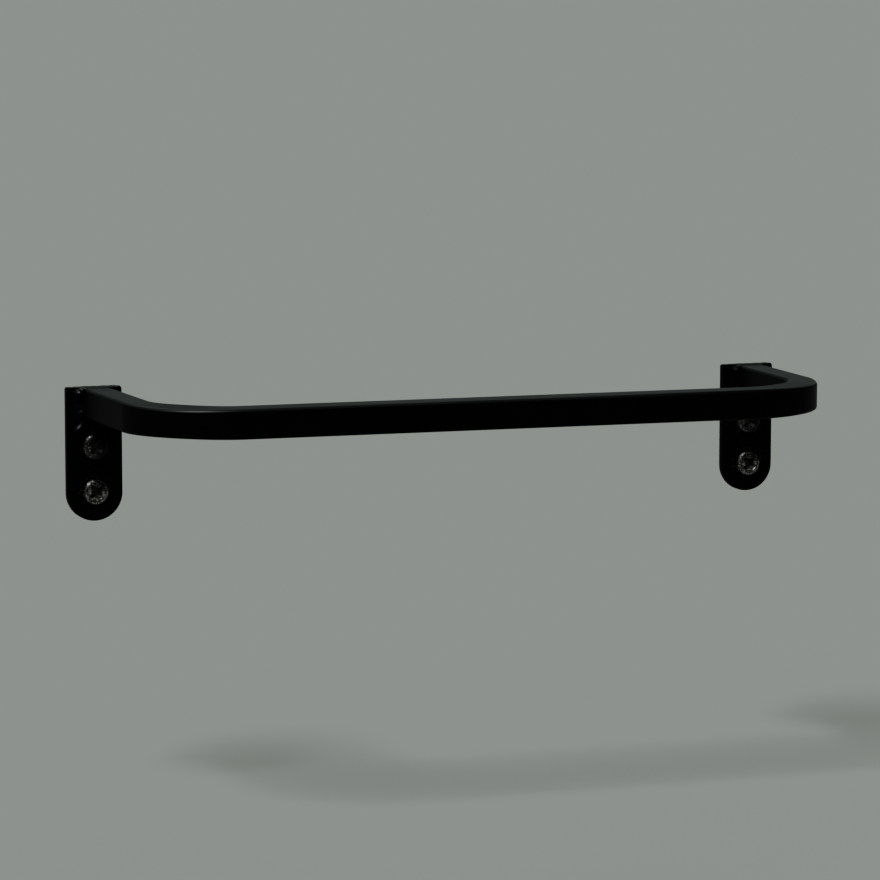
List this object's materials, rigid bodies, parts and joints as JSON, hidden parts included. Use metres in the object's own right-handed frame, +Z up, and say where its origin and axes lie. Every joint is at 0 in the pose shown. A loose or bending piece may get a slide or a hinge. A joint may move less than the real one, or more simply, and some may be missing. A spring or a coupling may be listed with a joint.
{
  "type": "tea towel holder",
  "caption": "Wall-mounted tea towel holder: a square steel rail bent back to the wall at its ends, welded to drilled plates and held by pan-head screws.",
  "frame": {"origin": "on the wall's surface, in the middle of the rectangle of the wall screws", "axes": "+X along the rail to the right as seen from the room, +Y into the wall, +Z up"},
  "size_m": [0.27, 0.1075, 0.048],
  "materials": {
    "black_paint": "satin black paint",
    "plated_steel": "dull zinc plating"
  },
  "bodies": {
    "root": {"rail": "black_paint", "left_plate": "black_paint", "right_plate": "black_paint", "left_weld": "black_paint", "right_weld": "black_paint", "mounting_screws": "plated_steel"}
  },
  "joints": []
}
